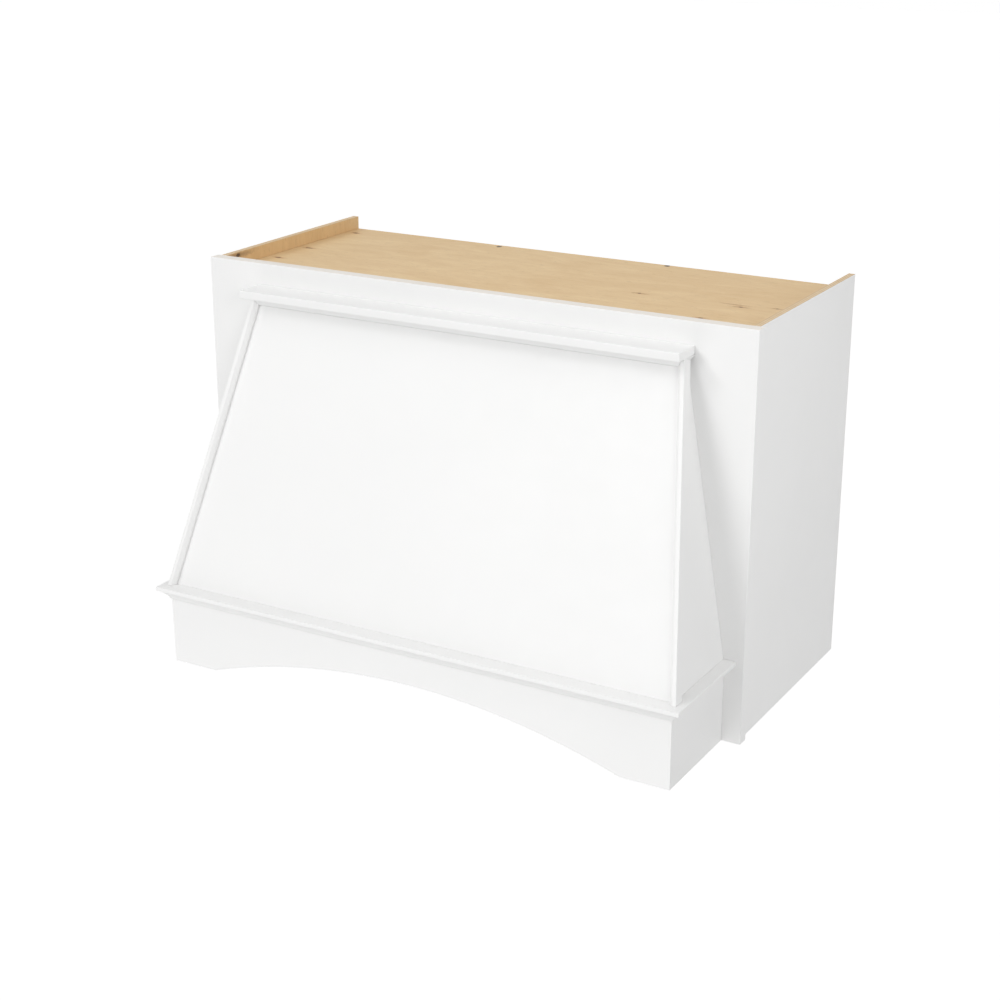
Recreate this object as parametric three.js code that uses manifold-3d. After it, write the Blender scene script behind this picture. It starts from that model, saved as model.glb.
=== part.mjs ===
// Wooden range hood cover: a wall-hung cabinet box with a face frame, and on its front a flared,
// sloping canopy that stands on an arched valance with a mitred cove moulding.
//
// Millimetres, +Z up. The kitchen is towards -Y and the wall towards +Y. The pieces are laid out
// from the face frame: x = 0 is the middle, y = 0 the frame's front face, z = 0 its lower edge.
// The finished group's origin is the middle of the upper hanging rail's back, on the wall.
import * as THREE from "three";
import { mergeVertices } from "three/addons/utils/BufferGeometryUtils.js";
import Module from "manifold-3d";

// Glue line left between neighbouring pieces
const SEAM = 0.3;

// Face frame
const FRAME_WIDTH = 914.4;
const FRAME_HEIGHT = 609.6;
const FRAME_THICKNESS = 19.05;
const FRAME_OVERHANG = 6.65; // past each side panel
const TOP_RAIL_HEIGHT = 63.5;

// Cabinet box
const BOX_DEPTH = 383.5; // frame's front face to the wall
const SIDE_THICKNESS = 10;
const TOP_THICKNESS = 10;
const TOP_SETDOWN = 20.5; // top panel's face below the side panels' top edges
const DADO_DEPTH = 5; // groove in each side panel that holds the top panel
const HANGING_RAIL_HEIGHT = 88.9;
const HANGING_RAIL_THICKNESS = 19.05;

// Valance
const VALANCE_SETBACK = 29.35; // each side's face inside the frame's edge
const VALANCE_DEPTH = 174; // its face in front of the face frame
const VALANCE_THICKNESS = 19.05;
const ARCH_SHOULDER = 76.85; // straight stretch at each end of the lower edge
const ARCH_RISE = 58;
const ARCH_SEGMENTS = 48;

// Moulding round the valance's head
const MOULDING_TOP = 127.5;
const MOULDING_HEIGHT = 22;
const MOULDING_PROJECTION = 17;
const NOSE_HEIGHT = 6.35;
const COVE_RADIUS = 30;
const COVE_LAND = 1.5; // flat left under the cove

// Canopy
const CANOPY_SETBACK = 1.65; // each side board's foot inside the valance's face
const CANOPY_TAPER = 73.2; // how far each side board comes in from foot to head
const TRIM_STANDOUT = 2; // trim's face in front of the valance's, at the foot
const CANOPY_HEAD_DEPTH = 22.9; // trim's face in front of the face frame, at the head
const CANOPY_SIDE_THICKNESS = 12.7; // measured level
const PANEL_THICKNESS = 9.5;
const PANEL_RECESS = 9.5; // panel's face behind the trim's
const SIDE_TRIM_WIDTH = 11.1; // measured level
const SIDE_TRIM_OVERHANG = 7.5; // past the side boards
const TOP_TRIM_WIDTH = 12.7; // measured up the slope
const TRIM_CHAMFER = 5;

// Cap on the canopy's head
const CAP_SETDOWN = 32.6; // cap's top below the frame's
const CAP_THICKNESS = 12.5;
const CAP_OVERHANG = 4.5; // past the side trim
const CAP_NOSE = 27.1; // past the trim's face

// Strips and blocks inside
const CLEAT_SIZE = 19.05;
const CLEAT_LIFT = 12.7; // valance strips and blocks stop this far above the lower edge
const BLOCK_LEG = 32;
const BLOCK_NIB = 6; // square end left on each leg of a glue block
const LEDGER_THICKNESS = 19.05;
const LEDGER_HEIGHT = 38.1;
const LEDGER_LIFT = 44.5;
const LEDGER_SCREWS = 3;
const LEDGER_SCREW_INSET = 45;
const SCREW_LENGTH = 25.4;
const SCREW_RADIUS = 2;
const SCREW_HEAD_RADIUS = 4;
const SCREW_HEAD_DEPTH = 2.6;
const SCREW_TIP = 4;
const SCREW_SEGMENTS = 16;
const COUNTERSINK_RUNOUT = 1; // how far a screw's cutter stands out of the wood

// Places that follow from the sizes above
const SIDE_OUTER = FRAME_WIDTH / 2 - FRAME_OVERHANG;
const SIDE_INNER = SIDE_OUTER - SIDE_THICKNESS;
const FRAME_BACK = FRAME_THICKNESS + SEAM;
const TOP_FACE = FRAME_HEIGHT - TOP_SETDOWN;
const TOP_UNDERSIDE = TOP_FACE - TOP_THICKNESS;
const UPPER_RAIL_FOOT = TOP_UNDERSIDE - SEAM - HANGING_RAIL_HEIGHT;
const HANGING_RAIL_FRONT = BOX_DEPTH - HANGING_RAIL_THICKNESS;
const VALANCE_OUTER = FRAME_WIDTH / 2 - VALANCE_SETBACK;
const VALANCE_INNER = VALANCE_OUTER - VALANCE_THICKNESS;
const VALANCE_BACK = VALANCE_DEPTH - VALANCE_THICKNESS;
const VALANCE_HEAD = MOULDING_TOP - NOSE_HEIGHT - SEAM;
const CAP_UNDERSIDE = FRAME_HEIGHT - CAP_SETDOWN - CAP_THICKNESS;
const CANOPY_FOOT = MOULDING_TOP + SEAM;
const CANOPY_HEAD = CAP_UNDERSIDE - SEAM;
const MITRE_BACK = SEAM / Math.SQRT2; // each 45 degree mitre is held back this far along its run

// The canopy's slopes, as millimetres in for each millimetre up
const CANOPY_RISE = CAP_UNDERSIDE - MOULDING_TOP;
const CANOPY_FOOT_DEPTH = VALANCE_DEPTH + TRIM_STANDOUT;
const FLARE = CANOPY_TAPER / CANOPY_RISE;
const LEAN = (CANOPY_FOOT_DEPTH - CANOPY_HEAD_DEPTH) / CANOPY_RISE;
const LEAN_ANGLE = Math.atan(LEAN);
const CANOPY_SHELL = PANEL_RECESS + PANEL_THICKNESS; // trim's face to the panel's back

const sideX = (z) => VALANCE_OUTER - CANOPY_SETBACK - FLARE * (z - MOULDING_TOP);
const trimOuterX = (z) => sideX(z) + SIDE_TRIM_OVERHANG;
const trimInnerX = (z) => trimOuterX(z) - SIDE_TRIM_WIDTH;
const slopeY = (z, depth) => LEAN * (z - MOULDING_TOP) - CANOPY_FOOT_DEPTH + depth / Math.cos(LEAN_ANGLE);

// A point of the canopy's front as [y, z], from its distance up the trim's face and behind it
function onSlope(up, behind) {
  const y = up * Math.sin(LEAN_ANGLE) + behind * Math.cos(LEAN_ANGLE) - CANOPY_FOOT_DEPTH;
  const z = up * Math.cos(LEAN_ANGLE) - behind * Math.sin(LEAN_ANGLE) + MOULDING_TOP;
  return [y, z];
}
const TOP_TRIM_FOOT = CANOPY_RISE / Math.cos(LEAN_ANGLE) - TOP_TRIM_WIDTH;

// Ways to lay an outline down: the first two axes carry the outline, the third its run
const X = new THREE.Vector3(1, 0, 0);
const Y = new THREE.Vector3(0, 1, 0);
const Z = new THREE.Vector3(0, 0, 1);
const FORWARD = Y.clone().negate();
const UPRIGHT = new THREE.Matrix4();
const SIDEWAYS = new THREE.Matrix4().makeBasis(Y, Z, X); // drawn as (y, z), run along x
const TO_THE_FRONT = new THREE.Matrix4().makeBasis(X, Z, FORWARD); // drawn as (x, z), run along -y

const wasm = await Module();
wasm.setup();

const paint = () => new THREE.MeshStandardMaterial({ color: 0xf4f4f2, roughness: 0.42, metalness: 0 });
const veneer = () => new THREE.MeshStandardMaterial({ color: 0xdcc199, roughness: 0.6, metalness: 0 });
const rawWood = () => new THREE.MeshStandardMaterial({ color: 0xc9ab7c, roughness: 0.7, metalness: 0 });
const zinc = () => new THREE.MeshStandardMaterial({ color: 0xb9b6a8, roughness: 0.35, metalness: 1 });

const hood = new THREE.Group();

function add(name, geometry, material, layout = UPRIGHT) {
  const mesh = new THREE.Mesh(geometry, material);
  mesh.name = name;
  mesh.setRotationFromMatrix(layout);
  hood.add(mesh);
  return mesh;
}

const sideName = (side) => (side < 0 ? "left" : "right");

function polygon(points) {
  return new THREE.Shape(points.map(([u, v]) => new THREE.Vector2(u, v)));
}

// A length of one section, with an end that slopes where start or end depends on the point
function run(shape, start, end, curveSegments = 12) {
  const geometry = new THREE.ExtrudeGeometry(shape, { depth: 1, bevelEnabled: false, curveSegments });
  const points = geometry.getAttribute("position");
  for (let i = 0; i < points.count; i += 1) {
    const from = start(points.getX(i), points.getY(i));
    const to = end(points.getX(i), points.getY(i));
    points.setZ(i, THREE.MathUtils.lerp(from, to, points.getZ(i)));
  }
  geometry.computeVertexNormals();
  return geometry;
}

// A square-cut board between two corners
function board(low, high) {
  const size = high.map((value, i) => value - low[i]);
  const middle = high.map((value, i) => (value + low[i]) / 2);
  return new THREE.BoxGeometry(...size).translate(...middle);
}

// A board beside the middle line, given by its distance range from it
function sideBoard(side, [inner, outer], [back, front], [foot, head]) {
  const low = Math.min(side * inner, side * outer);
  const high = Math.max(side * inner, side * outer);
  return board([low, Math.min(back, front), foot], [high, Math.max(back, front), head]);
}

function toSolid(geometry) {
  const bare = geometry.clone();
  bare.deleteAttribute("normal");
  bare.deleteAttribute("uv");
  const welded = mergeVertices(bare);
  const vertProperties = new Float32Array(welded.getAttribute("position").array);
  const triVerts = new Uint32Array(welded.getIndex().array);
  return new wasm.Manifold(new wasm.Mesh({ numProp: 3, vertProperties, triVerts }));
}

function cut(geometry, cutters) {
  const body = cutters.reduce((rest, cutter) => rest.subtract(toSolid(cutter)), toSolid(geometry));
  const { vertProperties, triVerts } = body.getMesh();
  const result = new THREE.BufferGeometry();
  result.setAttribute("position", new THREE.BufferAttribute(vertProperties, 3));
  result.setIndex(new THREE.BufferAttribute(triVerts, 1));
  const faceted = result.toNonIndexed();
  faceted.computeVertexNormals();
  return faceted;
}

// Ledger screws, with their heads on the ledgers' inner faces and their tips in the side panels
function screwPlaces() {
  const first = FRAME_BACK + LEDGER_SCREW_INSET;
  const last = HANGING_RAIL_FRONT - SEAM - LEDGER_SCREW_INSET;
  const step = (last - first) / (LEDGER_SCREWS - 1);
  return Array.from({ length: LEDGER_SCREWS }, (_, i) => first + i * step);
}

function placeScrew(geometry, side, y) {
  const head = side * (SIDE_INNER - SEAM - LEDGER_THICKNESS);
  const height = LEDGER_LIFT + LEDGER_HEIGHT / 2;
  return geometry.rotateZ((side * Math.PI) / 2).translate(head, y, height);
}

function screw() {
  const profile = [
    [0, 0],
    [SCREW_HEAD_RADIUS, 0],
    [SCREW_RADIUS, -SCREW_HEAD_DEPTH],
    [SCREW_RADIUS, SCREW_TIP - SCREW_LENGTH],
    [0, -SCREW_LENGTH],
  ];
  return revolve(profile);
}

function screwCutter() {
  const profile = [
    [0, COUNTERSINK_RUNOUT],
    [SCREW_HEAD_RADIUS + SEAM, COUNTERSINK_RUNOUT],
    [SCREW_HEAD_RADIUS + SEAM, 0],
    [SCREW_RADIUS + SEAM, -SCREW_HEAD_DEPTH],
    [SCREW_RADIUS + SEAM, -SCREW_LENGTH - SEAM],
    [0, -SCREW_LENGTH - SEAM],
  ];
  return revolve(profile);
}

function revolve(profile) {
  const points = profile.map(([radius, height]) => new THREE.Vector2(radius, height)).reverse();
  return new THREE.LatheGeometry(points, SCREW_SEGMENTS);
}

function screwHoles(side) {
  return screwPlaces().map((y) => placeScrew(screwCutter(), side, y));
}

// Cabinet box
function addSidePanel(side) {
  const grooveFloor = SIDE_INNER + DADO_DEPTH;
  const outline = [
    [SIDE_OUTER, 0],
    [SIDE_OUTER, FRAME_HEIGHT],
    [SIDE_INNER, FRAME_HEIGHT],
    [SIDE_INNER, TOP_FACE + SEAM],
    [grooveFloor, TOP_FACE + SEAM],
    [grooveFloor, TOP_UNDERSIDE - SEAM],
    [SIDE_INNER, TOP_UNDERSIDE - SEAM],
    [SIDE_INNER, 0],
  ];
  const shape = polygon(outline.map(([x, z]) => [side * x, z]));
  const panel = run(shape, () => -BOX_DEPTH, () => -FRAME_BACK).applyMatrix4(TO_THE_FRONT);
  add(`${sideName(side)}_side_panel`, cut(panel, screwHoles(side)), paint());
}

function addTopPanel() {
  const reach = SIDE_INNER + DADO_DEPTH - SEAM;
  const sheet = board([-reach, FRAME_BACK, TOP_UNDERSIDE], [reach, BOX_DEPTH, TOP_FACE]);
  add("top_panel", sheet, veneer());
}

function addHangingRail(name, foot) {
  const reach = SIDE_INNER - SEAM;
  const low = [-reach, HANGING_RAIL_FRONT, foot];
  const high = [reach, BOX_DEPTH, foot + HANGING_RAIL_HEIGHT];
  add(name, board(low, high), rawWood());
}

// Face frame: each stile's inner edge leaves a cleat's width beside the boards that land on it
const TOP_RAIL_FOOT = FRAME_HEIGHT - TOP_RAIL_HEIGHT;
const landingX = (z) => sideX(z) - CANOPY_SIDE_THICKNESS - SEAM - CLEAT_SIZE;
const STILE_FOOT_X = VALANCE_INNER - SEAM - CLEAT_SIZE;
const STILE_HEAD_X = landingX(TOP_RAIL_FOOT);

function addStile(side) {
  const bend = MOULDING_TOP + (landingX(MOULDING_TOP) - STILE_FOOT_X) / FLARE;
  const outline = [
    [FRAME_WIDTH / 2, 0],
    [FRAME_WIDTH / 2, FRAME_HEIGHT],
    [STILE_HEAD_X, FRAME_HEIGHT],
    [STILE_HEAD_X, TOP_RAIL_FOOT],
    [STILE_FOOT_X, bend],
    [STILE_FOOT_X, 0],
  ];
  const shape = polygon(outline.map(([x, z]) => [side * x, z]));
  add(`frame_${sideName(side)}_stile`, run(shape, () => -FRAME_THICKNESS, () => 0), paint(), TO_THE_FRONT);
}

function addTopRail() {
  const reach = STILE_HEAD_X - SEAM;
  add("frame_top_rail", board([-reach, 0, TOP_RAIL_FOOT], [reach, FRAME_THICKNESS, FRAME_HEIGHT]), paint());
}

// Valance: three boards, mitred at the front corners
function addValanceFront() {
  const plan = polygon([
    [-VALANCE_OUTER + MITRE_BACK, -VALANCE_DEPTH],
    [VALANCE_OUTER - MITRE_BACK, -VALANCE_DEPTH],
    [VALANCE_INNER - MITRE_BACK, -VALANCE_BACK],
    [-VALANCE_INNER + MITRE_BACK, -VALANCE_BACK],
  ]);
  const blank = run(plan, () => 0, () => VALANCE_HEAD);
  add("valance_front", cut(blank, [archCutter()]), paint());
}

// The arch is one circular arc between two springing points on the lower edge
function archCutter() {
  const half = VALANCE_OUTER - ARCH_SHOULDER;
  const radius = (half * half + ARCH_RISE * ARCH_RISE) / (2 * ARCH_RISE);
  const middle = ARCH_RISE - radius;
  const spring = Math.atan2(-middle, half);
  const shape = new THREE.Shape();
  shape.moveTo(-half, -ARCH_RISE);
  shape.lineTo(half, -ARCH_RISE);
  shape.absarc(0, middle, radius, spring, Math.PI - spring, false);
  shape.closePath();
  const front = () => VALANCE_DEPTH + VALANCE_THICKNESS;
  const back = () => VALANCE_BACK - VALANCE_THICKNESS;
  return run(shape, back, front, ARCH_SEGMENTS).applyMatrix4(TO_THE_FRONT);
}

function addValanceSide(side) {
  const plan = polygon([
    [side * VALANCE_OUTER, MITRE_BACK - VALANCE_DEPTH],
    [side * VALANCE_OUTER, -SEAM],
    [side * VALANCE_INNER, -SEAM],
    [side * VALANCE_INNER, MITRE_BACK - VALANCE_BACK],
  ]);
  add(`valance_${sideName(side)}_side`, run(plan, () => 0, () => VALANCE_HEAD), paint());
}

// Moulding section as (out from the valance's face, up): a lip that laps over the valance's head,
// a square nose and a cove that dies into the valance
function mouldingSection() {
  const noseFoot = MOULDING_TOP - NOSE_HEIGHT;
  const foot = MOULDING_TOP - MOULDING_HEIGHT;
  const from = new THREE.Vector2(MOULDING_PROJECTION, noseFoot);
  const to = new THREE.Vector2(COVE_LAND, foot);
  const chord = to.clone().sub(from);
  const outward = new THREE.Vector2(-chord.y, chord.x).normalize();
  const reach = Math.sqrt(COVE_RADIUS ** 2 - chord.lengthSq() / 4);
  const centre = from.clone().lerp(to, 0.5).addScaledVector(outward, reach);
  const fromAngle = from.clone().sub(centre).angle();
  const toAngle = to.clone().sub(centre).angle();
  const shape = new THREE.Shape();
  shape.moveTo(-VALANCE_THICKNESS, MOULDING_TOP);
  shape.lineTo(-VALANCE_THICKNESS, noseFoot);
  shape.lineTo(SEAM, noseFoot);
  shape.lineTo(SEAM, foot);
  shape.lineTo(to.x, to.y);
  shape.absarc(centre.x, centre.y, COVE_RADIUS, toAngle, fromAngle, true);
  shape.lineTo(MOULDING_PROJECTION, MOULDING_TOP);
  shape.closePath();
  return shape;
}

function addFrontMoulding() {
  const reach = (out) => VALANCE_OUTER + out - MITRE_BACK;
  const layout = new THREE.Matrix4().makeBasis(FORWARD, Z, X.clone().negate());
  const length = run(mouldingSection(), (out) => -reach(out), reach);
  const mesh = add("front_moulding", length, paint(), layout);
  mesh.position.y = -VALANCE_DEPTH;
}

function addReturnMoulding(side) {
  const outward = X.clone().multiplyScalar(side);
  const layout = new THREE.Matrix4().makeBasis(outward, Z, FORWARD.clone().multiplyScalar(side));
  const frontEnd = (out) => VALANCE_DEPTH + out - MITRE_BACK;
  const wallEnd = () => SEAM;
  const length =
    side > 0
      ? run(mouldingSection(), wallEnd, frontEnd)
      : run(mouldingSection(), (out) => -frontEnd(out), () => -SEAM);
  const mesh = add(`${sideName(side)}_return_moulding`, length, paint(), layout);
  mesh.position.x = side * VALANCE_OUTER;
}

// Canopy
function addCanopySide(side) {
  const front = (z) => slopeY(z, CANOPY_SHELL + SEAM);
  const profile = polygon([
    [front(CANOPY_FOOT), CANOPY_FOOT],
    [-SEAM, CANOPY_FOOT],
    [-SEAM, CANOPY_HEAD],
    [front(CANOPY_HEAD), CANOPY_HEAD],
  ]);
  const outer = (y, z) => side * sideX(z);
  const inner = (y, z) => side * (sideX(z) - CANOPY_SIDE_THICKNESS);
  const geometry = side > 0 ? run(profile, inner, outer) : run(profile, outer, inner);
  add(`canopy_${sideName(side)}_side`, geometry, paint(), SIDEWAYS);
}

function addCanopyFrontPanel() {
  const head = TOP_TRIM_FOOT - SEAM;
  const profile = polygon([
    [slopeY(CANOPY_FOOT, PANEL_RECESS), CANOPY_FOOT],
    [slopeY(CANOPY_FOOT, CANOPY_SHELL), CANOPY_FOOT],
    onSlope(head, CANOPY_SHELL),
    onSlope(head, PANEL_RECESS),
  ]);
  const reach = (y, z) => trimInnerX(z) - SEAM;
  const panel = run(profile, (y, z) => -reach(y, z), reach);
  add("canopy_front_panel", panel, paint(), SIDEWAYS);
}

// The trim's upper corners are mitred across the line that halves the angle between the strips
function trimMitre() {
  const spread = Math.atan(FLARE * Math.cos(LEAN_ANGLE));
  const mitreAngle = (Math.PI / 2 + spread) / 2;
  const upSlope = new THREE.Vector3(0, Math.sin(LEAN_ANGLE), Math.cos(LEAN_ANGLE));
  const normal = upSlope.multiplyScalar(Math.cos(mitreAngle)).addScaledVector(X, -Math.sin(mitreAngle));
  const [y, z] = onSlope(TOP_TRIM_FOOT, 0);
  const corner = new THREE.Vector3(trimInnerX(z), y, z);
  return new THREE.Plane().setFromNormalAndCoplanarPoint(normal, corner);
}

// How far from a point, along a direction, a plane is met; gap keeps clear of it on either side
function reachPlane(plane, point, direction, gap) {
  return (gap - plane.distanceToPoint(point)) / plane.normal.dot(direction);
}

function addSideTrim(side) {
  const mitre = trimMitre();
  const upward = new THREE.Vector3(-FLARE, LEAN, 1);
  const outer = trimOuterX(CANOPY_FOOT);
  const inner = trimInnerX(CANOPY_FOOT);
  const face = slopeY(CANOPY_FOOT, 0);
  const back = slopeY(CANOPY_FOOT, CANOPY_SHELL);
  const plan = [
    [outer, face],
    [outer, back],
    [inner, back],
    [inner, slopeY(CANOPY_FOOT, TRIM_CHAMFER)],
    [inner + TRIM_CHAMFER, face],
  ];
  const head = (x, y) => {
    const foot = new THREE.Vector3(Math.abs(x), y, CANOPY_FOOT);
    return reachPlane(mitre, foot, upward, -SEAM / 2);
  };
  const strip = run(polygon(plan.map(([x, y]) => [side * x, y])), () => 0, head);
  strip.applyMatrix4(new THREE.Matrix4().makeShear(0, 0, 0, 0, -side * FLARE, LEAN));
  add(`canopy_${sideName(side)}_trim`, strip, paint()).position.z = CANOPY_FOOT;
}

function addTopTrim() {
  const mitre = trimMitre();
  const profile = polygon([
    [slopeY(CANOPY_HEAD, 0), CANOPY_HEAD],
    onSlope(TOP_TRIM_FOOT + TRIM_CHAMFER, 0),
    onSlope(TOP_TRIM_FOOT, TRIM_CHAMFER),
    onSlope(TOP_TRIM_FOOT, CANOPY_SHELL),
    [slopeY(CANOPY_HEAD, CANOPY_SHELL), CANOPY_HEAD],
  ]);
  const reach = (y, z) => reachPlane(mitre, new THREE.Vector3(0, y, z), X, SEAM / 2);
  const strip = run(profile, (y, z) => -reach(y, z), reach);
  add("canopy_top_trim", strip, paint(), SIDEWAYS);
}

function addTopCap() {
  const reach = trimOuterX(CAP_UNDERSIDE) + CAP_OVERHANG;
  const low = [-reach, -CANOPY_HEAD_DEPTH - CAP_NOSE, CAP_UNDERSIDE];
  const high = [reach, -SEAM, CAP_UNDERSIDE + CAP_THICKNESS];
  add("top_cap", board(low, high), paint());
}

// Strips and blocks inside
function addCanopyCleat(side) {
  const cleatFront = -SEAM - CLEAT_SIZE;
  const room = slopeY(MOULDING_TOP, CANOPY_SHELL + SEAM) - cleatFront;
  const head = MOULDING_TOP - room / LEAN;
  const profile = polygon([
    [cleatFront, CANOPY_FOOT],
    [-SEAM, CANOPY_FOOT],
    [-SEAM, head],
    [cleatFront, head],
  ]);
  const outer = (y, z) => side * (sideX(z) - CANOPY_SIDE_THICKNESS - SEAM);
  const inner = (y, z) => outer(y, z) - side * CLEAT_SIZE;
  const geometry = side > 0 ? run(profile, inner, outer) : run(profile, outer, inner);
  add(`canopy_${sideName(side)}_cleat`, geometry, rawWood(), SIDEWAYS);
}

function addValanceCleat(side) {
  const outer = VALANCE_INNER - SEAM;
  const strip = sideBoard(
    side,
    [outer - CLEAT_SIZE, outer],
    [-SEAM, -SEAM - CLEAT_SIZE],
    [CLEAT_LIFT, VALANCE_HEAD],
  );
  add(`valance_${sideName(side)}_cleat`, strip, rawWood());
}

// A three-cornered glue block with nibs, in the corner behind each mitre
function addValanceBlock(side) {
  const x = VALANCE_INNER - SEAM;
  const y = SEAM - VALANCE_BACK;
  const plan = [
    [x, y],
    [x, y + BLOCK_LEG],
    [x - BLOCK_NIB, y + BLOCK_LEG],
    [x - BLOCK_LEG, y + BLOCK_NIB],
    [x - BLOCK_LEG, y],
  ];
  const shape = polygon(plan.map(([u, v]) => [side * u, v]));
  const block = run(shape, () => CLEAT_LIFT, () => VALANCE_HEAD);
  add(`valance_${sideName(side)}_block`, block, rawWood());
}

function addInsertLedger(side) {
  const outer = SIDE_INNER - SEAM;
  const blank = sideBoard(
    side,
    [outer - LEDGER_THICKNESS, outer],
    [HANGING_RAIL_FRONT - SEAM, FRAME_BACK],
    [LEDGER_LIFT, LEDGER_LIFT + LEDGER_HEIGHT],
  );
  add(`${sideName(side)}_insert_ledger`, cut(blank, screwHoles(side)), rawWood());
  screwPlaces().forEach((y, i) => {
    add(`${sideName(side)}_ledger_screw_${i + 1}`, placeScrew(screw(), side, y), zinc());
  });
}

addTopPanel();
addHangingRail("upper_hanging_rail", UPPER_RAIL_FOOT);
addHangingRail("lower_hanging_rail", 0);
addTopRail();
addValanceFront();
addFrontMoulding();
addCanopyFrontPanel();
addTopTrim();
addTopCap();
for (const side of [-1, 1]) {
  addSidePanel(side);
  addStile(side);
  addValanceSide(side);
  addReturnMoulding(side);
  addCanopySide(side);
  addSideTrim(side);
  addCanopyCleat(side);
  addValanceCleat(side);
  addValanceBlock(side);
  addInsertLedger(side);
}

hood.position.set(0, -BOX_DEPTH, -(UPPER_RAIL_FOOT + HANGING_RAIL_HEIGHT / 2));

const part = new THREE.Group();
part.add(hood);

export default part;
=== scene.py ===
"""Wooden range hood cover: finishes, eased edges and small fittings round its packed CAD model.

The file is laid out as a Blender add-on and run as a script. Lengths are metres in the CAD's own
frame: x runs along the wall, +y goes into the wall, +z goes up, and z = 0 is the middle of the upper
hanging rail. Each board is a merged copy of its CAD node with eased edges and its own finish on each
side, and the ledger screws are modelled here once more, with a cross recess.
"""

import math

import bmesh
import bpy
from bpy.props import FloatProperty, FloatVectorProperty, PointerProperty
from mathutils import Matrix, Vector


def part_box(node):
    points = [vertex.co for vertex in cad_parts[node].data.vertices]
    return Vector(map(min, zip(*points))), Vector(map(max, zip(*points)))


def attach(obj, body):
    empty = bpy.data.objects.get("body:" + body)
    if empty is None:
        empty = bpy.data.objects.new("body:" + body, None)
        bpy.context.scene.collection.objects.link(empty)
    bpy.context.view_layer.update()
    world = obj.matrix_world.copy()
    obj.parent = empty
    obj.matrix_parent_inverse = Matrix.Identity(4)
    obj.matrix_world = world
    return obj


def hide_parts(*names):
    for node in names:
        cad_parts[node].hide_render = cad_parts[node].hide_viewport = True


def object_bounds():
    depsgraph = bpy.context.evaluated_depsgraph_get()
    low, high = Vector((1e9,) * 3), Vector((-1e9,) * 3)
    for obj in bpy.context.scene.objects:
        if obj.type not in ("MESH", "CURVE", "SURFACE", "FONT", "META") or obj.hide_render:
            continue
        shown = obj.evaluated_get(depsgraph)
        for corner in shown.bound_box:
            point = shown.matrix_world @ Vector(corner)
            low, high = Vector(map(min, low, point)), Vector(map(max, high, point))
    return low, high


bl_info = {
    "name": "Wooden range hood cover",
    "version": (1, 0, 0),
    "blender": (4, 5, 0),
    "location": "View3D > Sidebar > Hood cover",
    "description": "Finishes a wooden range hood cover and sets up its stage",
    "category": "Object",
}

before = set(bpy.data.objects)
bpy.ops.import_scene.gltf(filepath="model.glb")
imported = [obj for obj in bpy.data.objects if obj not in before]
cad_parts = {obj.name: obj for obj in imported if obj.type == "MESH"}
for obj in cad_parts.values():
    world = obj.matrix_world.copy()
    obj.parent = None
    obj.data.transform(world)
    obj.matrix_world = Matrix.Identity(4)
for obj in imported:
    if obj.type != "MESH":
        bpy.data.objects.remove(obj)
CAD_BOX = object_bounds()

# Which way each side lies from the middle, along x
SIDES = {"left": -1, "right": 1}

# Turns that bring each axis to x, along which the node groups draw their grain
AXIS_TURNS = {"x": (0, 0, 0), "y": (0, 0, -math.pi / 2), "z": (0, math.pi / 2, 0)}

# Points closer than this are merged, and faces within this angle of each other become one flat face
MERGE_DISTANCE = 1e-6
FLAT_ANGLE = math.radians(0.1)

# Outside edges sharper than the first angle are eased, and the shading breaks at the second
EASED_ANGLE = math.radians(30)
CRISP_ANGLE = math.radians(50)

# How near a point is to a butt joint or a mitre when it counts as lying on it
BUTT_REACH = 0.0006
MITRE_REACH = 0.0008

# A face looks in a direction when the cosine of the angle between them is more than this
SAME_WAY = 0.9

# The screw's segments, rim and point, the narrowing of its recess, and how dark worn zinc is
SCREW_SEGMENTS = 48
SCREW_RIM = 0.0002
SCREW_TIP = 0.004
RECESS_TAPER = 0.45
ZINC_WORN = 0.78

# Half the floor's width, the camera sensor's width in millimetres, and how far the camera sees
FLOOR_HALF = 30.0
SENSOR_WIDTH = 36
CLIP_END = 100


def linear(red, green, blue):
    """A display colour, 0 to 255, as the linear values that a shader takes."""

    def channel(value):
        share = value / 255
        return share / 12.92 if share <= 0.04045 else ((share + 0.055) / 1.055) ** 2.4

    return tuple(channel(value) for value in (red, green, blue))


def opaque(colour):
    """A colour of three values with a fourth that makes it solid."""
    return (*colour[:3], 1.0)


# Settings


class HoodPaintSettings(bpy.types.PropertyGroup):
    """The satin paint on everything that faces the kitchen."""

    colour: FloatVectorProperty(
        name="Paint colour",
        description="Colour of the satin paint",
        subtype="COLOR",
        size=3,
        min=0,
        max=1,
        default=(0.885, 0.885, 0.88),
    )
    roughness: FloatProperty(
        name="Paint roughness",
        description="Higher is less glossy",
        subtype="FACTOR",
        min=0,
        max=1,
        default=0.42,
    )
    film: FloatProperty(
        name="Paint film",
        description="Thickness of primer and paint, which closes most of each glued joint",
        unit="LENGTH",
        min=0,
        max=0.00014,
        default=0.00012,
    )


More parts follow.
